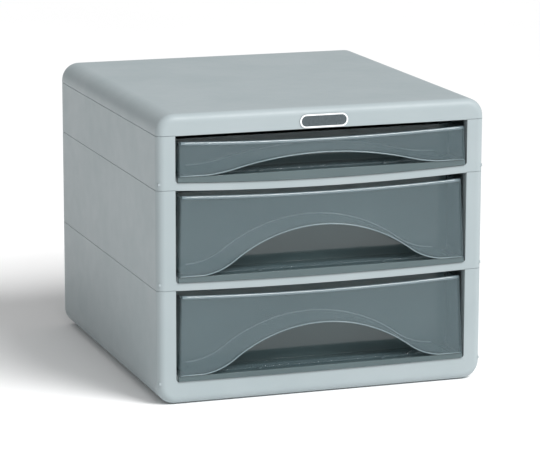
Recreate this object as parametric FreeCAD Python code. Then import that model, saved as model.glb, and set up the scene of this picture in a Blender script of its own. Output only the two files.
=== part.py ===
import FreeCAD, Part
import math
import os
from FreeCAD import Vector

# Desktop file drawer, in millimetres. X runs left to right, Y runs front to back, +Z is up.
# The origin is on the desk, midway along the width and along the depth over the drawer fronts.
# Depths in the source are measured from the casing's front, and the finished parts are moved once.
# The casing is four stacked mouldings: a base frame, two shelf frames and a cover.
# Each of its three bays holds a drawer made of a tray and a hollow front clipped to it.

# Casing
CASE_WIDTH = 328.0
CASE_DEPTH = 344.0
WALL = 2.5
EDGE_RADIUS = 17.5          # the long rounded edges that run from front to back
FRONT_ROUND = 7.5           # rounding all round the front face
BACK_BEVEL = 2.0
JAMB_WIDTH = 17.8           # front face on either side of the bays
BASE_BAND = 22.0            # height of the base below the lowest bay
SHELF_BAND = 7.5            # height of a shelf's front edge
COVER_BAND = 20.0
FILE_BAY = 88.0             # height of each of the two lower bays
TOP_BAY = 44.0
BASE_DROOP = 0.7            # how far each front edge curves down at mid-width
LOWER_SHELF_DROOP = 2.2
UPPER_SHELF_DROOP = 3.9
BAY_CORNER = 2.8
JAMB_RETURN_DEPTH = 9.0     # the jamb's inner edge turns back into the casing
JAMB_RETURN_WALL = 2.0
SEAM_GROOVE = 0.4           # width and depth of the hairline groove round each seam
TONGUE_DEPTH = 5.0          # rim under each moulding that drops inside the one below
TONGUE_ROOT = 2.0
TONGUE_WALL = 2.0
TONGUE_CLEARANCE = 0.3
SOLE_RIM = 4.5              # flat rim round the open underside
SOLE_RIB_WALL = 2.0
SOLE_RIB_DEPTH = 4.0        # how far the ribs hang below the base's floor
SOLE_RIBS_ACROSS = 2
SOLE_RIBS_ALONG = 3

# Runners in each bay
GLIDE_WIDTH = 5.0
GLIDE_HEIGHT = 1.0
GLIDE_INSET = 9.0           # from the tray's side wall in to the glide's centre
GUIDE_WALL = 2.0
GUIDE_HEIGHT = 4.5
GUIDE_CLEARANCE = 1.0
GUIDE_START = 45.0          # the guides begin this far behind the casing's front
RUNNING_GAP = 0.3

# Tray
TRAY_SIDE_GAP = 9.5         # from the bay's side to the tray's upper edge
TRAY_WALL = 2.0
TRAY_FLOOR = 2.2
TRAY_DRAFT = 2.2            # how much narrower each side is at the floor
TRAY_CORNER = 6.0
TRAY_TOP_GAP = 9.0          # from the tray's edge up to the bay's top
TRAY_REAR_GAP = 0.6
WING_OVERHANG = 4.5         # the tray's front wall runs past its sides to back the front
LEDGE_HEIGHT = 5.0          # top of the ledge above the bay's floor
LEDGE_WALL = 2.4
LEDGE_GAP = 0.4
LEDGE_SETBACK = 1.4         # the ledge stands this far ahead of the casing's front
STOP_POSITION = 228.0       # front of the stop tabs, behind the casing's front
STOP_LENGTH = 9.0
STOP_CATCH = 1.5            # how far the tabs reach past the shelf's lower edge

# Hollow drawer front
CELL_DEPTH = 35.5           # from the casing's front back to the tray's front wall
FACE_WALL = 2.2
FACE_SIDE_GAP = 2.2         # beside the face at its lower edge
FACE_TOP_GAP = 7.5
FACE_TAPER = 2.0            # degrees that each side of the face leans in
FACE_LEAN = 2.4             # degrees that the face leans back
FACE_PROUD = 2.2            # the face's lower edge stands ahead of the casing
FACE_CORNER = 1.8
FACE_SEAT = 0.3
RIM_RADIUS = 1.7
RIM_PROUD = 0.3             # the rim stands this far ahead of the face
RIM_TAPER = 0.8             # the rim's ends narrow by this much
RIM_DIP = 3.4               # the upper edge curves down at mid-width
ARCH_HALF_WIDTH = 126.0     # finger arch
FILE_ARCH_HEIGHT = 41.5
TOP_ARCH_HEIGHT = 15.6
ARCH_CROWN_SHARE = 0.70     # share of the arch's two radii that the crown's arc takes
ARCH_SINK = 0.3             # the arch's ends run out just below the face
ROOF_WALL = 1.8
ROOF_RISE = 3.2             # the arch's roof climbs towards the tray
TIE_DEPTH = 10.0            # bar that ties the front together below the arch
TIE_SETBACK = 5.0
TIE_WALL = 1.8
CLIP_SPACING = 125.0
CLIP_WIDTH = 3.0

# Badge
BADGE_LENGTH = 48.0
BADGE_HEIGHT = 13.0
BADGE_THICKNESS = 1.6
BADGE_SINK = 0.8
BADGE_RIM = 1.5
BADGE_FIELD_DEPTH = 0.4
BADGE_RISE = 7.2            # centre of the badge above the cover's lower edge

# Worked out from the sizes above
HALF_WIDTH = CASE_WIDTH / 2
BAY_HALF = HALF_WIDTH - JAMB_WIDTH
BASE_FLOOR = BASE_BAND
LOWER_SEAM = BASE_FLOOR + FILE_BAY
LOWER_FLOOR = LOWER_SEAM + SHELF_BAND
UPPER_SEAM = LOWER_FLOOR + FILE_BAY
UPPER_FLOOR = UPPER_SEAM + SHELF_BAND
COVER_SEAM = UPPER_FLOOR + TOP_BAY
CASE_HEIGHT = COVER_SEAM + COVER_BAND
TRAY_HALF = BAY_HALF - TRAY_SIDE_GAP
TRAY_BACK = CASE_DEPTH - WALL - TRAY_REAR_GAP
FACE_HALF = BAY_HALF - FACE_SIDE_GAP
ORIGIN_DEPTH = (CASE_DEPTH - FACE_PROUD) / 2
REACH = 2 * CASE_WIDTH      # longer than anything it cuts
BEVEL_SHARE = 2 - math.sqrt(2)  # bevel across a corner that keeps the wall there even


def box(x0, x1, y0, y1, z0, z1):
    """Block between the given limits."""
    return Part.makeBox(x1 - x0, y1 - y0, z1 - z0, Vector(x0, y0, z0))


def fuse(solids):
    """One clean solid from several that meet, joined one after another."""
    joined = solids[0]
    for solid in solids[1:]:
        joined = joined.fuse(solid)
    return joined.removeSplitter()


def face_xz(edges):
    """Flat face in an XZ plane from edges that follow each other."""
    return Part.Face(Part.Wire(edges))


def line(start, end):
    return Part.makeLine(Vector(start[0], 0, start[1]), Vector(end[0], 0, end[1]))


def dipped_edge(half, level, dip):
    """Edge across the width that is level at its ends and dips by a given height."""
    ends = Vector(-half, 0, level), Vector(half, 0, level)
    return Part.Arc(ends[0], Vector(0, 0, level - dip), ends[1]).toShape()


def dipped_height(x, half, level, dip):
    """Height of the dipped edge at a place across the width."""
    radius = (half ** 2 + dip ** 2) / (2 * dip)
    return level + (radius - dip) - math.sqrt(radius ** 2 - x ** 2)


def rounded_prism(inset, radius):
    """Casing's rounded outline, drawn in by an inset and run from front to back."""
    block = box(-HALF_WIDTH + inset, HALF_WIDTH - inset, inset, CASE_DEPTH - inset,
                inset, CASE_HEIGHT - inset)
    long_edges = [e for e in block.Edges if abs(e.tangentAt(e.FirstParameter).y) > 0.9]
    return block.makeFillet(radius, long_edges)


def ring_edges(solid, y):
    """Edges of a solid that lie in the plane at the given depth."""
    return [e for e in solid.Edges if abs(e.BoundBox.YMin - y) < 1e-6 and abs(e.BoundBox.YMax - y) < 1e-6]


def casing_shell():
    """Hollow casing in one piece, before it is parted and opened."""
    outer = rounded_prism(0, EDGE_RADIUS)
    outer = outer.makeFillet(FRONT_ROUND, ring_edges(outer, 0))
    outer = outer.makeChamfer(BACK_BEVEL, ring_edges(outer, CASE_DEPTH))
    inner = rounded_prism(WALL, EDGE_RADIUS - WALL)
    inner = inner.makeChamfer((FRONT_ROUND - WALL) * BEVEL_SHARE, ring_edges(inner, WALL))
    return outer.cut(inner)


def bay_window(floor, droop, seam):
    """Opening through the front wall, with a dipped lower edge and rounded lower corners."""
    outline = face_xz([dipped_edge(BAY_HALF, floor, droop), line((BAY_HALF, floor), (BAY_HALF, seam)),
                       line((BAY_HALF, seam), (-BAY_HALF, seam)),
                       line((-BAY_HALF, seam), (-BAY_HALF, floor))])
    window = outline.extrude(Vector(0, JAMB_RETURN_DEPTH + WALL, 0))
    corners = [e for e in window.Edges if abs(e.tangentAt(e.FirstParameter).y) > 0.9
               and abs(e.BoundBox.ZMin - floor) < 1e-6]
    return window.makeFillet(BAY_CORNER, corners)


def shelf_plate(floor, droop, thickness, y0, y1):
    """Dipped plate across the casing, level outside the bay."""
    side = HALF_WIDTH - WALL / 2
    under = floor - thickness
    plate = face_xz([line((-side, floor), (-BAY_HALF, floor)), dipped_edge(BAY_HALF, floor, droop),
                     line((BAY_HALF, floor), (side, floor)), line((side, floor), (side, under)),
                     line((side, under), (BAY_HALF, under)), dipped_edge(BAY_HALF, under, droop),
                     line((-BAY_HALF, under), (-side, under)), line((-side, under), (-side, floor))])
    return plate.extrude(Vector(0, y1 - y0, 0)).translated(Vector(0, y0, 0))


def hanging_edge(seam, droop, band):
    """The part of a front edge that hangs below its seam across the bay."""
    lift = band / 2
    outline = face_xz([dipped_edge(BAY_HALF, seam, droop), line((BAY_HALF, seam), (BAY_HALF, seam + lift)),
                       line((BAY_HALF, seam + lift), (-BAY_HALF, seam + lift)),
                       line((-BAY_HALF, seam + lift), (-BAY_HALF, seam))])
    return outline.extrude(Vector(0, WALL, 0))


def tongue(seam):
    """Rim on the sides and back that locates a moulding inside the one below it."""
    def frame(outset, z0, z1):
        inner = outset + TONGUE_WALL
        start = FRONT_ROUND + WALL
        whole = box(-HALF_WIDTH + outset, HALF_WIDTH - outset, start, CASE_DEPTH - outset, z0, z1)
        hole = box(-HALF_WIDTH + inner, HALF_WIDTH - inner, 0, CASE_DEPTH - inner, z0, z1)
        return whole.cut(hole)
    free = WALL + TONGUE_CLEARANCE
    root = box(-HALF_WIDTH + WALL / 2, HALF_WIDTH - WALL / 2, FRONT_ROUND + WALL, CASE_DEPTH - WALL / 2,
               seam, seam + TONGUE_ROOT)
    root = root.cut(box(-HALF_WIDTH + free + TONGUE_WALL, HALF_WIDTH - free - TONGUE_WALL, 0,
                        CASE_DEPTH - free - TONGUE_WALL, seam, seam + TONGUE_ROOT))
    return root.fuse(frame(free, seam - TONGUE_DEPTH, seam))


def seam_groove(seam):
    """Hairline groove round the outside of a seam, left out across the bay."""
    top = seam + SEAM_GROOVE
    inner = box(-HALF_WIDTH + SEAM_GROOVE, HALF_WIDTH - SEAM_GROOVE, SEAM_GROOVE, CASE_DEPTH - SEAM_GROOVE,
                seam, top)
    front = [e for e in inner.Edges if abs(e.tangentAt(e.FirstParameter).z) > 0.9
             and e.BoundBox.YMax < FRONT_ROUND]
    inner = inner.makeFillet(FRONT_ROUND - SEAM_GROOVE, front)
    back = [e for e in inner.Edges if abs(e.tangentAt(e.FirstParameter).z) > 0.9
            and e.BoundBox.YMin > CASE_DEPTH - BACK_BEVEL]
    inner = inner.makeChamfer(BACK_BEVEL - SEAM_GROOVE * BEVEL_SHARE, back)
    ring = box(-REACH, REACH, -REACH, REACH, seam, top).cut(inner)
    return ring.cut(box(-BAY_HALF, BAY_HALF, -REACH, FRONT_ROUND, seam, top))


def runners(floor, droop):
    """Two glides that carry the tray and two guides that keep it straight."""
    made = []
    back = CASE_DEPTH - WALL / 2
    for side in (-1, 1):
        centre = side * (TRAY_HALF - TRAY_DRAFT - GLIDE_INSET)
        low = dipped_height(abs(centre) - GLIDE_WIDTH / 2, BAY_HALF, floor, droop) - WALL / 2
        made.append(box(centre - GLIDE_WIDTH / 2, centre + GLIDE_WIDTH / 2, WALL / 2, back, low,
                        floor + GLIDE_HEIGHT))
        inner = side * (TRAY_HALF + GUIDE_CLEARANCE)
        outer = inner + side * GUIDE_WALL
        made.append(box(min(inner, outer), max(inner, outer), GUIDE_START, back, floor - WALL,
                        floor + GUIDE_HEIGHT))
    return made


def jamb_returns(z0, z1):
    """Inner edges of the jambs, turned back into the casing."""
    made = []
    for side in (-1, 1):
        edge = side * BAY_HALF
        outer = edge + side * JAMB_RETURN_WALL
        made.append(box(min(edge, outer), max(edge, outer), WALL / 2, JAMB_RETURN_DEPTH, z0, z1))
    return made


def frame_moulding(shell, seam, floor, droop, top):
    """Frame with a floor, two jambs, two sides and a back, open at the front and above."""
    body = shell.common(box(-REACH, REACH, -REACH, REACH, seam, top))
    plate = shelf_plate(floor, droop, WALL, WALL / 2, CASE_DEPTH - WALL / 2)
    pieces = [body, plate] + jamb_returns(floor - WALL, top) + runners(floor, droop)
    if seam > 0:
        pieces.append(hanging_edge(seam, droop, SHELF_BAND))
        pieces.append(tongue(seam))
    else:
        pieces += sole_ribs(floor - WALL)
    moulding = fuse(pieces).cut(bay_window(floor, droop, top))
    return moulding.cut(seam_groove(seam)) if seam > 0 else open_underside(moulding)


def sole_ribs(under):
    """Shallow ribs below the base's floor, seen from underneath."""
    made = []
    half_rib = SOLE_RIB_WALL / 2
    low = under - BASE_DROOP - SOLE_RIB_DEPTH
    for index in range(SOLE_RIBS_ACROSS):
        x = -BAY_HALF + (index + 1) * 2 * BAY_HALF / (SOLE_RIBS_ACROSS + 1)
        made.append(box(x - half_rib, x + half_rib, WALL / 2, CASE_DEPTH - WALL / 2, low, under))
    for index in range(SOLE_RIBS_ALONG):
        y = (index + 1) * CASE_DEPTH / (SOLE_RIBS_ALONG + 1)
        made.append(box(-HALF_WIDTH + WALL / 2, HALF_WIDTH - WALL / 2, y - half_rib, y + half_rib,
                        low, under))
    return made


def open_underside(moulding):
    """Open the bottom of the base, leaving a flat rim to stand on."""
    half = HALF_WIDTH - EDGE_RADIUS - SOLE_RIM
    return moulding.cut(box(-half, half, FRONT_ROUND + SOLE_RIM, CASE_DEPTH - BACK_BEVEL - SOLE_RIM,
                            -WALL, WALL))


def cover_moulding(shell):
    """Rounded lid with the badge's recess in its front."""
    body = shell.common(box(-REACH, REACH, -REACH, REACH, COVER_SEAM, 2 * CASE_HEIGHT))
    recess = stadium(BADGE_LENGTH, BADGE_HEIGHT, BADGE_SINK)
    recess.translate(Vector(0, 0, COVER_SEAM + BADGE_RISE))
    return fuse([body, tongue(COVER_SEAM)]).cut(recess).cut(seam_groove(COVER_SEAM))


def stadium(length, height, depth):
    """Round-ended block whose front is at Y 0, centred across the width and on Z 0."""
    radius = height / 2
    half = length / 2 - radius
    left = Part.Arc(Vector(-half, 0, radius), Vector(-half - radius, 0, 0), Vector(-half, 0, -radius))
    right = Part.Arc(Vector(half, 0, -radius), Vector(half + radius, 0, 0), Vector(half, 0, radius))
    outline = face_xz([left.toShape(), line((-half, -radius), (half, -radius)), right.toShape(),
                       line((half, radius), (-half, radius))])
    return outline.extrude(Vector(0, depth, 0))


def badge_plate():
    """Plain round-ended plate with a raised rim."""
    plate = stadium(BADGE_LENGTH, BADGE_HEIGHT, BADGE_THICKNESS)
    field = stadium(BADGE_LENGTH - 2 * BADGE_RIM, BADGE_HEIGHT - 2 * BADGE_RIM, BADGE_FIELD_DEPTH)
    plate = plate.cut(field)
    plate.translate(Vector(0, BADGE_SINK - BADGE_THICKNESS, COVER_SEAM + BADGE_RISE))
    return plate


def rounded_rectangle(half, y0, y1, radius, z):
    """Closed outline at one height with rounded corners."""
    sheet = Part.makePlane(2 * half, y1 - y0, Vector(-half, y0, z))
    block = sheet.extrude(Vector(0, 0, 1))
    upright = [e for e in block.Edges if abs(e.tangentAt(e.FirstParameter).z) > 0.9]
    rounded = block.makeFillet(radius, upright)
    base = [f for f in rounded.Faces if abs(f.BoundBox.ZMax - z) < 1e-6]
    return base[0].OuterWire


def tapered_tub(inset, bottom, top, rise):
    """Solid between a smaller outline at the tray's underside and a larger one at its edge."""
    def outline(z):
        draft = TRAY_DRAFT * (top - z) / rise
        half = TRAY_HALF - draft - inset
        return rounded_rectangle(half, CELL_DEPTH + inset, TRAY_BACK - draft - inset,
                                 TRAY_CORNER - inset, z)
    return Part.makeLoft([outline(bottom), outline(top)], True, True)


def tray(floor, droop, height):
    """Open tray with a wide front wall, a sill and lip ahead of it and two stop tabs."""
    bottom = floor + GLIDE_HEIGHT + RUNNING_GAP
    top = floor + height - TRAY_TOP_GAP
    rise = top - bottom
    shell = tapered_tub(0, bottom, top, rise).cut(tapered_tub(TRAY_WALL, bottom + TRAY_FLOOR, top, rise))
    ledge_top = floor + LEDGE_HEIGHT
    wing = TRAY_HALF + WING_OVERHANG
    front_wall = box(-wing, wing, CELL_DEPTH, CELL_DEPTH + TRAY_WALL, ledge_top, top)
    lip = face_xz([dipped_edge(FACE_HALF, floor + LEDGE_GAP, droop),
                   line((FACE_HALF, floor + LEDGE_GAP), (FACE_HALF, ledge_top)),
                   line((FACE_HALF, ledge_top), (-FACE_HALF, ledge_top)),
                   line((-FACE_HALF, ledge_top), (-FACE_HALF, floor + LEDGE_GAP))])
    lip = lip.extrude(Vector(0, LEDGE_WALL, 0)).translated(Vector(0, -LEDGE_SETBACK, 0))
    half = TRAY_HALF - TRAY_DRAFT
    sill = box(-half, half, LEDGE_WALL / 2 - LEDGE_SETBACK, CELL_DEPTH + TRAY_WALL / 2,
               ledge_top - TRAY_FLOOR, ledge_top)
    pieces = [shell, front_wall, lip, sill] + stop_tabs(floor + height, top)
    return fuse(pieces)


def stop_tabs(bay_top, edge):
    """Tabs on the tray's long edges that meet the front edge above the bay when it is drawn out."""
    made = []
    for side in (-1, 1):
        outer = side * TRAY_HALF
        inner = outer - side * TRAY_WALL
        profile = Part.makePolygon([Vector(0, STOP_POSITION, edge - TRAY_WALL),
                                    Vector(0, STOP_POSITION, bay_top + STOP_CATCH),
                                    Vector(0, STOP_POSITION + TRAY_WALL, bay_top + STOP_CATCH),
                                    Vector(0, STOP_POSITION + STOP_LENGTH, edge - TRAY_WALL),
                                    Vector(0, STOP_POSITION, edge - TRAY_WALL)])
        tab = Part.Face(profile).extrude(Vector(TRAY_WALL, 0, 0))
        made.append(tab.translated(Vector(min(outer, inner), 0, 0)))
    return made


class Arch:
    """Finger arch: a crown arc between two smaller arcs that run out level at the sides."""

    def __init__(self, level, height):
        self.level = level
        self.height = height
        self.turn = 2 * math.atan(height / ARCH_HALF_WIDTH)
        radii = ARCH_HALF_WIDTH / math.sin(self.turn)
        self.crown = radii * ARCH_CROWN_SHARE
        self.foot = radii - self.crown

    def point(self, angle, side, outset):
        """Point on the arch, offset outwards, at an angle from the crown (then from the foot)."""
        if angle <= self.turn:
            radius = self.crown + outset
            return Vector(side * radius * math.sin(angle), 0,
                          self.level + self.height - self.crown + radius * math.cos(angle))
        radius = self.foot - outset
        turned = 2 * self.turn - angle
        return Vector(side * (ARCH_HALF_WIDTH - radius * math.sin(turned)), 0,
                      self.level + self.foot - radius * math.cos(turned))

    def curve(self, outset):
        """Edges of the arch from left to right, offset outwards."""
        turn = self.turn
        left = [self.point(angle, -1, outset) for angle in (2 * turn, 1.5 * turn, turn)]
        crown = [self.point(turn, -1, outset), self.point(0, 1, outset), self.point(turn, 1, outset)]
        right = [self.point(angle, 1, outset) for angle in (turn, 1.5 * turn, 2 * turn)]
        return [Part.Arc(*points).toShape() for points in (left, crown, right)]

    def opening(self, depth):
        """Solid below the arch, to be cut from the face."""
        under = self.level - ARCH_HALF_WIDTH / 4
        ends = (-ARCH_HALF_WIDTH, ARCH_HALF_WIDTH)
        outline = face_xz(self.curve(0) + [line((ends[1], self.level), (ends[1], under)),
                                           line((ends[1], under), (ends[0], under)),
                                           line((ends[0], under), (ends[0], self.level))])
        return outline.extrude(Vector(0, depth, 0))

    def band(self, wall, path):
        """Strip of even thickness that follows the arch, run along a path."""
        inner = self.curve(0)
        outer = self.curve(wall)
        left = Part.makeLine(self.point(2 * self.turn, -1, 0), self.point(2 * self.turn, -1, wall))
        right = Part.makeLine(self.point(2 * self.turn, 1, wall), self.point(2 * self.turn, 1, 0))
        return face_xz(inner + [right] + outer[::-1] + [left]).extrude(path)


def ahead_of_face(foot, offset):
    """Everything ahead of the leaning face, moved back by an offset."""
    cutter = box(-REACH, REACH, -REACH, 0, -REACH, REACH)
    cutter.rotate(Vector(0, 0, 0), Vector(1, 0, 0), -FACE_LEAN)
    return cutter.translated(Vector(0, offset - FACE_PROUD, foot))


def face_depth(height):
    """Depth of the leaning face at a height above its lower edge."""
    return height * math.tan(math.radians(FACE_LEAN)) - FACE_PROUD


def tapered_outline(foot, low, high, inset, top_edge=None):
    """Outline of the drawer's front between two heights, narrower above."""
    taper = math.tan(math.radians(FACE_TAPER))
    half_low = FACE_HALF - inset - taper * (low - foot)
    half_high = FACE_HALF - inset - taper * (high - foot)
    top = top_edge or line((half_high, high), (-half_high, high))
    return face_xz([line((-half_low, low), (half_low, low)), line((half_low, low), (half_high, high)), top,
                    line((-half_high, high), (-half_low, low))])


def rolled_rim(foot, rim_end, half):
    """Round bead along the face's upper edge, with tapered ends."""
    radius = RIM_RADIUS
    ends = half - RIM_TAPER
    behind = radius - RIM_PROUD
    end_depth = face_depth(rim_end - foot) + behind
    mid_depth = face_depth(rim_end - RIM_DIP - foot) + behind
    path = Part.Arc(Vector(-ends, end_depth, rim_end), Vector(0, mid_depth, rim_end - RIM_DIP),
                    Vector(ends, end_depth, rim_end)).toShape()
    start = path.valueAt(path.FirstParameter)
    disc = Part.Face(Part.Wire(Part.makeCircle(radius, start, path.tangentAt(path.FirstParameter))))
    bead = Part.Wire(path).makePipe(disc).Solids[0]
    caps = []
    for place, way in ((path.FirstParameter, -1), (path.LastParameter, 1)):
        caps.append(Part.makeCone(radius, radius - RIM_TAPER, RIM_TAPER, path.valueAt(place),
                                  path.tangentAt(place) * way))
    return [bead] + caps


def tie_bar(foot, half):
    """Bar that ties the two ends of the front together under the arch, with its two clips."""
    bar = box(-half, half, TIE_SETBACK, TIE_SETBACK + TIE_DEPTH, foot, foot + TIE_WALL)
    pieces = [bar]
    front = LEDGE_WALL - LEDGE_SETBACK + FACE_SEAT
    for side in (-1, 1):
        x = side * CLIP_SPACING / 2
        pieces.append(box(x - CLIP_WIDTH / 2, x + CLIP_WIDTH / 2, front, TIE_SETBACK + TIE_WALL, foot,
                          foot + TIE_WALL))
    return pieces


def drawer_front(floor, height, arch_height):
    """Hollow front: a leaning face with a rolled rim, side returns and a roofed finger arch."""
    foot = floor + LEDGE_HEIGHT + FACE_SEAT
    rim_end = floor + height - FACE_TOP_GAP
    half = FACE_HALF - math.tan(math.radians(FACE_TAPER)) * (rim_end - foot)
    ahead = 2 * FACE_PROUD
    through = Vector(0, CELL_DEPTH + ahead, 0)
    start = Vector(0, -ahead, 0)

    rim = Part.Arc(Vector(half, 0, rim_end), Vector(0, 0, rim_end - RIM_DIP), Vector(-half, 0, rim_end))
    whole = tapered_outline(foot, foot, rim_end, 0, rim.toShape()).extrude(through).translated(start)
    whole = whole.cut(ahead_of_face(foot, 0))
    inward = half - FACE_CORNER
    upright = [e for e in whole.Edges if abs(e.BoundBox.XMin) > inward and abs(e.BoundBox.XMax) > inward
               and abs(e.BoundBox.YMax) < ahead and e.BoundBox.ZLength > 2 * RIM_DIP]
    whole = whole.makeFillet(FACE_CORNER, upright)
    hollow = tapered_outline(foot, foot - RIM_DIP, rim_end + RIM_DIP, FACE_WALL)
    hollow = hollow.extrude(through).translated(start).cut(ahead_of_face(foot, FACE_WALL))
    shell = whole.cut(hollow)

    arch = Arch(foot - ARCH_SINK, arch_height)
    opened = shell.cut(arch.opening(CELL_DEPTH / 2).translated(start))
    roof = arch.band(ROOF_WALL, Vector(0, CELL_DEPTH + ahead, ROOF_RISE)).translated(start)
    roof = roof.common(box(-FACE_HALF, FACE_HALF, -REACH, CELL_DEPTH, foot, rim_end))
    roof = roof.cut(ahead_of_face(foot, 0))
    tie_half = ARCH_HALF_WIDTH - TIE_DEPTH
    return fuse([opened, roof] + tie_bar(foot, tie_half) + rolled_rim(foot, rim_end, half))


def main():
    shell = casing_shell()
    bays = (
        ("lower", 0, BASE_FLOOR, BASE_DROOP, FILE_BAY, FILE_ARCH_HEIGHT),
        ("middle", LOWER_SEAM, LOWER_FLOOR, LOWER_SHELF_DROOP, FILE_BAY, FILE_ARCH_HEIGHT),
        ("upper", UPPER_SEAM, UPPER_FLOOR, UPPER_SHELF_DROOP, TOP_BAY, TOP_ARCH_HEIGHT),
    )
    parts = {"top_cover": cover_moulding(shell), "badge_plate": badge_plate()}
    for name, seam, floor, droop, height, arch_height in bays:
        parts[name + "_frame"] = frame_moulding(shell, seam, floor, droop, floor + height)
        parts[name + "_drawer_tray"] = tray(floor, droop, height)
        parts[name + "_drawer_front"] = drawer_front(floor, height, arch_height)
    os.makedirs("parts", exist_ok=True)
    for name, shape in parts.items():
        shape.translate(Vector(0, -ORIGIN_DEPTH, 0))
        shape.exportStep(os.path.join("parts", name + ".step"))


main()
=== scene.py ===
import math

import bpy
from mathutils import Matrix, Vector


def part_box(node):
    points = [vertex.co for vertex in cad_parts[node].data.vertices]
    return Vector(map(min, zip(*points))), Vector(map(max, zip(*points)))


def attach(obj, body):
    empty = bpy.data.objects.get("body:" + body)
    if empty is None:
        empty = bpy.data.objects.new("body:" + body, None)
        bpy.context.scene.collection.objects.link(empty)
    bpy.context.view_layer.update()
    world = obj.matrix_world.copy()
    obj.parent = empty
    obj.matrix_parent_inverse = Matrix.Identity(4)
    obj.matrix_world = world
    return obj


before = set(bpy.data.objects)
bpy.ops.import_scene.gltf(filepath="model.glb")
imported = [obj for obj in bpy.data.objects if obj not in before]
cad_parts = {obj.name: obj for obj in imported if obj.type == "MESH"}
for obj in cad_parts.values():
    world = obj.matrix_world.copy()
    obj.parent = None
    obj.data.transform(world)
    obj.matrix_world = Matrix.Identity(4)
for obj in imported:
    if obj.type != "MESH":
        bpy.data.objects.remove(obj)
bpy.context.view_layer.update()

# Lengths are in metres, and colours are screen values from 0 to 255.

CASING = ("lower_frame", "middle_frame", "upper_frame", "top_cover")
TRAYS = ("lower_drawer_tray", "middle_drawer_tray", "upper_drawer_tray")
FRONTS = ("lower_drawer_front", "middle_drawer_front", "upper_drawer_front")

# Sizes of the solid drawer fronts that the edge beads follow.
ARCH_HALF_WIDTH = 0.126
FILE_ARCH_HEIGHT = 0.0415
TOP_ARCH_HEIGHT = 0.0156
ARCH_HEIGHTS = (("lower", FILE_ARCH_HEIGHT), ("middle", FILE_ARCH_HEIGHT),
                ("upper", TOP_ARCH_HEIGHT))
CROWN_SHARE = 0.70  # of the arch's two radii together
ARCH_SINK = 0.0003
ROOF_WALL = 0.0018
ROOF_RISE = 0.0032
FACE_CORNER = 0.0018
FACE_LEAN = math.radians(2.4)
FACE_TAPER = math.radians(2.0)
RIM_RADIUS = 0.0017
RIM_PROUD = 0.0003
RIM_DIP = 0.0034

# Beads along rounded edges; the arch and roof edge beads carry lighter colours as painted
# highlight lines.
EDGE_BEAD = 0.0006
POLISH = 0.00006
BEAD_SIDES = 12
ARCH_STEPS = 40  # in each half
RIM_STEPS = 24  # in each half

# Radii by which the shading rounds the edges of each material.
CASING_EDGE = 0.0006
SMOKED_EDGE = 0.0006
BADGE_EDGE = 0.0003
EDGE_SAMPLES = 4

# The badge's field starts this far behind its rim, and is wholly dark at the second depth.
BADGE_RIM_DEPTH = 0.00015
BADGE_FIELD_DEPTH = 0.0003

# Noise values lie mostly between these two.
NOISE_LOW = 0.35
NOISE_HIGH = 0.65

# Numbers of the Mix node's colour sockets, whose names occur more than once.
MIX_FACTOR, MIX_FIRST, MIX_SECOND, MIX_RESULT = 0, 6, 7, 2

FLOOR_HALF = 12.0
FLOOR_DROP = 0.0004
SKY_STRENGTH = 0.42

# Camera fitted to the photograph's edges: millimetres for the lens, radians for the angles.
CAMERA_SENSOR = 36.0
CAMERA_LENS = 186.40
CAMERA_REACH = 60.0
CAMERA_PLACE = (-0.88861, -2.60733, 0.70712)
CAMERA_TURN, CAMERA_PITCH, CAMERA_ROLL = 0.33023, 0.20667, 0.00211


def srgb(red, green, blue):
    """Linear colour from the 0-255 values of a screen colour."""
    def one(value):
        value /= 255
        return value / 12.92 if value <= 0.04045 else ((value + 0.055) / 1.055) ** 2.4
    return one(red), one(green), one(blue), 1.0


def new_material(name):
    """New material with its node tree and its Principled shader."""
    material = bpy.data.materials.new(name)
    material.use_nodes = True
    tree = material.node_tree
    return material, tree, tree.nodes["Principled BSDF"]


def object_coordinates(tree):
    """Coordinates that stay with the piece when it moves."""
    return tree.nodes.new("ShaderNodeTexCoord").outputs["Object"]


def noise(tree, coordinates, scale, detail, roughness=0.5):
    """Smooth noise, finer with a larger scale."""
    node = tree.nodes.new("ShaderNodeTexNoise")
    node.inputs["Scale"].default_value = scale
    node.inputs["Detail"].default_value = detail
    node.inputs["Roughness"].default_value = roughness
    tree.links.new(coordinates, node.inputs["Vector"])
    return node.outputs["Fac"]


def remap(tree, value, low, high, start=NOISE_LOW, end=NOISE_HIGH):
    """Value that runs from low to high while the given one runs from start to end."""
    node = tree.nodes.new("ShaderNodeMapRange")
    node.inputs["From Min"].default_value = start
    node.inputs["From Max"].default_value = end
    node.inputs["To Min"].default_value = low
    node.inputs["To Max"].default_value = high
    tree.links.new(value, node.inputs["Value"])
    return node.outputs["Result"]


def blend_colours(tree, factor, first, second):
    """Colour between two; the second may also be another node's output."""
    node = tree.nodes.new("ShaderNodeMix")
    node.data_type = "RGBA"
    node.inputs[MIX_FIRST].default_value = first
    if isinstance(second, bpy.types.NodeSocket):
        tree.links.new(second, node.inputs[MIX_SECOND])
    else:
        node.inputs[MIX_SECOND].default_value = second
    tree.links.new(factor, node.inputs[MIX_FACTOR])
    return node.outputs[MIX_RESULT]


def mottle(tree, where, scale, detail, dark, light):
    """Noise between two screen colours."""
    factor = remap(tree, noise(tree, where, scale, detail), low=0.0, high=1.0)
    return blend_colours(tree, factor, srgb(*dark), srgb(*light))


def vary_roughness(tree, shader, where, scale, detail, low, high):
    """Let the shader's roughness wander between two values."""
    rough = remap(tree, noise(tree, where, scale, detail), low, high)
    tree.links.new(rough, shader.inputs["Roughness"])


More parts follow.
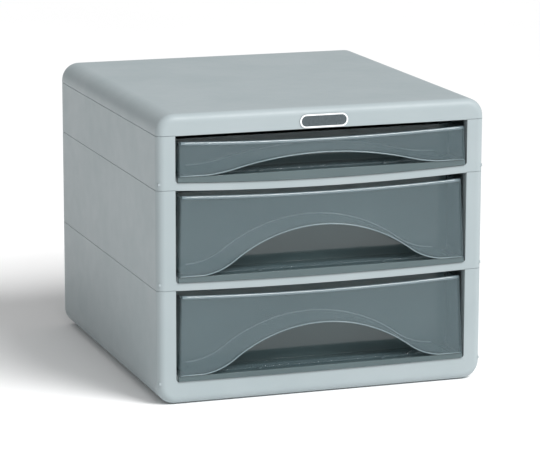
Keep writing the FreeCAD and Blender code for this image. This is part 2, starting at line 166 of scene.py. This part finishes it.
def bump(tree, height, strength, distance, edge):
    """Normal with the given relief and with the piece's edges rounded by a radius."""
    node = tree.nodes.new("ShaderNodeBump")
    node.inputs["Strength"].default_value = strength
    node.inputs["Distance"].default_value = distance
    tree.links.new(height, node.inputs["Height"])
    rounded = tree.nodes.new("ShaderNodeBevel")
    rounded.samples = EDGE_SAMPLES
    rounded.inputs["Radius"].default_value = edge
    tree.links.new(rounded.outputs["Normal"], node.inputs["Normal"])
    return node.outputs["Normal"]


def casing_material():
    """Cool light grey moulded plastic with a fine spark-eroded grain."""
    material, tree, shader = new_material("casing_moulded_grey")
    where = object_coordinates(tree)
    tint = mottle(tree, where, scale=14.0, detail=3.0,
                  dark=(155, 166, 169), light=(160, 170, 173))
    tree.links.new(tint, shader.inputs["Base Color"])
    vary_roughness(tree, shader, where, scale=60.0, detail=4.0, low=0.40, high=0.47)
    grain = noise(tree, where, scale=1900.0, detail=3.0, roughness=0.6)
    normal = bump(tree, grain, strength=0.10, distance=0.00006, edge=CASING_EDGE)
    tree.links.new(normal, shader.inputs["Normal"])
    shader.inputs["IOR"].default_value = 1.49
    shader.inputs["Specular IOR Level"].default_value = 0.28
    return material


def smoked_material(name, opacity, dark, light):
    """Glossy smoked clear plastic: tinted and partly see-through. Given a light tint, it also
    serves as painted highlight on edge beads.
    """
    material, tree, shader = new_material(name)
    where = object_coordinates(tree)
    tint = mottle(tree, where, scale=9.0, detail=2.0, dark=dark, light=light)
    tree.links.new(tint, shader.inputs["Base Color"])
    vary_roughness(tree, shader, where, scale=45.0, detail=4.0, low=0.08, high=0.11)
    waves = noise(tree, where, scale=12.0, detail=1.0)
    normal = bump(tree, waves, strength=0.03, distance=0.0004, edge=SMOKED_EDGE)
    tree.links.new(normal, shader.inputs["Normal"])
    shader.inputs["IOR"].default_value = 1.50
    shader.inputs["Alpha"].default_value = opacity
    shader.inputs["Coat Weight"].default_value = 0.6
    shader.inputs["Coat Roughness"].default_value = 0.06
    return material


def badge_material():
    """White rim round a dark field, told apart by how deep the surface lies."""
    material, tree, shader = new_material("badge_white_rim")
    where = object_coordinates(tree)
    parts = tree.nodes.new("ShaderNodeSeparateXYZ")
    tree.links.new(where, parts.inputs["Vector"])
    low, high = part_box("badge_plate")
    field = remap(tree, parts.outputs["Y"], low=0.0, high=1.0,
                  start=low[1] + BADGE_RIM_DEPTH, end=low[1] + BADGE_FIELD_DEPTH)
    ground = mottle(tree, where, scale=420.0, detail=3.0,
                    dark=(64, 74, 78), light=(72, 82, 86))
    white = srgb(236, 241, 243)
    tint = blend_colours(tree, field, white, ground)
    tree.links.new(tint, shader.inputs["Base Color"])
    vary_roughness(tree, shader, where, scale=90.0, detail=3.0, low=0.22, high=0.30)
    grain = noise(tree, where, scale=900.0, detail=2.0)
    normal = bump(tree, grain, strength=0.06, distance=0.00004, edge=BADGE_EDGE)
    tree.links.new(normal, shader.inputs["Normal"])
    return material


def floor_material():
    """Plain pale studio floor."""
    material, tree, shader = new_material("studio_floor")
    where = object_coordinates(tree)
    tone = mottle(tree, where, scale=0.8, detail=2.0,
                  dark=(250, 250, 250), light=(252, 252, 252))
    tree.links.new(tone, shader.inputs["Base Color"])
    vary_roughness(tree, shader, where, scale=3.0, detail=2.0, low=0.80, high=0.88)
    return material


def dress(names, material):
    """Put one material on the named pieces of the frame."""
    for name in names:
        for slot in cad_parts[name].material_slots:
            slot.material = material


def add_object(name, data):
    """New object in the scene's own collection."""
    thing = bpy.data.objects.new(name, data)
    bpy.context.scene.collection.objects.link(thing)
    return thing


def area_light(name, place, aim, width, height, power):
    """Oblong softbox that faces a point."""
    data = bpy.data.lights.new(name, "AREA")
    data.shape = "RECTANGLE"
    data.size = width
    data.size_y = height
    data.energy = power
    light = add_object(name, data)
    light.location = place
    light.rotation_mode = "QUATERNION"
    light.rotation_quaternion = (Vector(aim) - Vector(place)).to_track_quat("-Z", "Y")


def soft_sun(name, towards, strength, width):
    """Even light from one direction, as wide in the sky as the given number of degrees."""
    data = bpy.data.lights.new(name, "SUN")
    data.energy = strength
    data.angle = math.radians(width)
    light = add_object(name, data)
    light.rotation_mode = "QUATERNION"
    light.rotation_quaternion = Vector(towards).to_track_quat("Z", "Y")


class Arch:
    """Finger arch of one drawer: a crown arc between two smaller arcs that run out level."""

    def __init__(self, foot, height):
        self.level = foot - ARCH_SINK
        self.height = height
        self.turn = 2 * math.atan(height / ARCH_HALF_WIDTH)
        both = ARCH_HALF_WIDTH / math.sin(self.turn)
        self.crown = both * CROWN_SHARE
        self.run_out = both - self.crown

    def point(self, angle, outset):
        """Place across and up at a signed angle from the crown, offset outwards."""
        side = math.copysign(1, angle)
        angle = abs(angle)
        if angle <= self.turn:
            radius = self.crown + outset
            return (side * radius * math.sin(angle),
                    self.level + self.height - self.crown + radius * math.cos(angle))
        radius = self.run_out - outset
        turned = 2 * self.turn - angle
        return (side * (ARCH_HALF_WIDTH - radius * math.sin(turned)),
                self.level + self.run_out - radius * math.cos(turned))

    def points(self, outset):
        """Places along the whole arch from left to right, offset outwards."""
        return [self.point(2 * self.turn * (step / ARCH_STEPS - 1), outset)
                for step in range(2 * ARCH_STEPS + 1)]


def round_bead(name, path, radius, material, body):
    """Thin round bead along a path, riding on a body."""
    points = [Vector(p) for p in path]
    corners, faces = [], []
    for index, point in enumerate(points):
        along = points[min(index + 1, len(points) - 1)] - points[max(index - 1, 0)]
        across = along.cross(Vector((0, 1, 0))).normalized()
        depth = along.cross(across).normalized()
        for step in range(BEAD_SIDES):
            angle = 2 * math.pi * step / BEAD_SIDES
            corners.append(point + (across * math.cos(angle) + depth * math.sin(angle)) * radius)
        if index:
            first = (index - 1) * BEAD_SIDES
            for step in range(BEAD_SIDES):
                beside = (step + 1) % BEAD_SIDES
                faces.append((first + step, first + beside, first + beside + BEAD_SIDES,
                              first + step + BEAD_SIDES))
    faces.append(tuple(range(BEAD_SIDES)))
    last = len(corners) - BEAD_SIDES
    faces.append(tuple(reversed(range(last, len(corners)))))
    mesh = bpy.data.meshes.new(name)
    mesh.from_pydata([tuple(c) for c in corners], [], faces)
    mesh.materials.append(material)
    mesh.update()
    for polygon in mesh.polygons:
        polygon.use_smooth = len(polygon.vertices) == 4
    bead = add_object(name, mesh)
    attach(bead, body)


def polish_rim(node, body, material):
    """Polished skin over the bead along the face's upper edge."""
    low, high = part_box(node)
    rim_end = high[2] - RIM_RADIUS
    half = high[0] - math.tan(FACE_TAPER) * (rim_end - low[2]) - RIM_RADIUS
    path = []
    for step in range(2 * RIM_STEPS + 1):
        share = step / RIM_STEPS - 1
        height = rim_end - RIM_DIP * (1 - share * share)
        forward = low[1] + (height - low[2]) * math.tan(FACE_LEAN)
        path.append((half * share, forward + RIM_RADIUS - RIM_PROUD, height))
    round_bead(node + "_rim_polish", path, RIM_RADIUS + POLISH, material, body)


def place_arch_highlight_beads(node, body, height, edge_material, roof_material):
    """Beads along the edges of a finger arch, along the face and along the back of its roof, in
    the given lighter materials that serve as painted highlight lines.
    """
    low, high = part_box(node)
    foot, front, back = low[2], low[1], high[1]
    arch = Arch(foot, height)
    end = high[0] - FACE_CORNER
    level = foot + EDGE_BEAD
    crest = [(x, max(z, level)) for x, z in arch.points(EDGE_BEAD)]
    edge = [(-end, level)] + crest + [(end, level)]
    face = [(x, front + EDGE_BEAD + (z - foot) * math.tan(FACE_LEAN), z) for x, z in edge]
    round_bead(node + "_arch_edge", face, EDGE_BEAD, edge_material, body)
    roof = [(x, back - EDGE_BEAD, z + ROOF_RISE) for x, z in arch.points(ROOF_WALL - EDGE_BEAD)
            if z > foot]
    round_bead(node + "_roof_edge", roof, EDGE_BEAD, roof_material, body)


def make_floor():
    """Floor just under the part, wide enough to fill the picture."""
    mesh = bpy.data.meshes.new("studio_floor")
    corners = [(x * FLOOR_HALF, y * FLOOR_HALF, 0)
               for x, y in ((-1, -1), (1, -1), (1, 1), (-1, 1))]
    mesh.from_pydata(corners, [], [(0, 1, 2, 3)])
    floor = add_object("studio_floor", mesh)
    floor.location.z = -FLOOR_DROP
    mesh.materials.append(floor_material())


def make_world():
    """Even white light from all sides."""
    world = bpy.data.worlds.new("studio")
    world.use_nodes = True
    background = world.node_tree.nodes["Background"]
    background.inputs["Color"].default_value = (1.0, 1.0, 1.0, 1.0)
    background.inputs["Strength"].default_value = SKY_STRENGTH
    bpy.context.scene.world = world


def make_camera():
    """Camera at the photograph's angle: left of the front, looking slightly down."""
    data = bpy.data.cameras.new("camera")
    data.sensor_width = CAMERA_SENSOR
    data.lens = CAMERA_LENS
    data.clip_end = CAMERA_REACH
    camera = add_object("camera", data)
    ahead = Vector((math.sin(CAMERA_TURN) * math.cos(CAMERA_PITCH),
                    math.cos(CAMERA_TURN) * math.cos(CAMERA_PITCH), -math.sin(CAMERA_PITCH)))
    right = Vector((math.cos(CAMERA_TURN), -math.sin(CAMERA_TURN), 0.0))
    up = right.cross(ahead)
    right, up = (right * math.cos(CAMERA_ROLL) + up * math.sin(CAMERA_ROLL),
                 up * math.cos(CAMERA_ROLL) - right * math.sin(CAMERA_ROLL))
    rows = [(right[axis], up[axis], -ahead[axis], CAMERA_PLACE[axis]) for axis in range(3)]
    camera.matrix_world = Matrix(rows + [(0.0, 0.0, 0.0, 1.0)])
    bpy.context.scene.camera = camera


bpy.context.scene.view_settings.view_transform = "Standard"
make_camera()
make_world()
make_floor()
dress(CASING, casing_material())
dress(TRAYS, smoked_material("smoked_tray", opacity=0.84,
                             dark=(74, 92, 95), light=(79, 97, 100)))
dress(FRONTS, smoked_material("smoked_front", opacity=0.33,
                              dark=(94, 114, 120), light=(99, 119, 125)))
dress(("badge_plate",), badge_material())
polished = smoked_material("smoked_rim", opacity=0.85,
                           dark=(112, 128, 134), light=(118, 134, 140))
# Painted highlight: a smoked colour lighter than the face, so the arch's front edge shows as a
# light line.
painted_highlight_edge = smoked_material("smoked_edge_painted_highlight", opacity=0.90,
                         dark=(146, 162, 167), light=(152, 168, 173))
# Painted highlight: a near-white, nearly opaque colour on the roof's back edge, so it shows as a
# light line through the face.
painted_highlight_roof = smoked_material("smoked_roof_edge_painted_highlight", opacity=0.95,
                           dark=(212, 224, 228), light=(218, 230, 234))
for name, height in ARCH_HEIGHTS:
    node, body = name + "_drawer_front", name + "_drawer"
    place_arch_highlight_beads(node, body, height, painted_highlight_edge, painted_highlight_roof)
    polish_rim(node, body, polished)

soft_sun("key", towards=(0.42, -0.55, 0.72), strength=2.75, width=30.0)
area_light("long_softbox", place=(0.25, -1.75, 1.75), aim=(0.0, -0.17, 0.16),
           width=2.0, height=0.25, power=16.0)
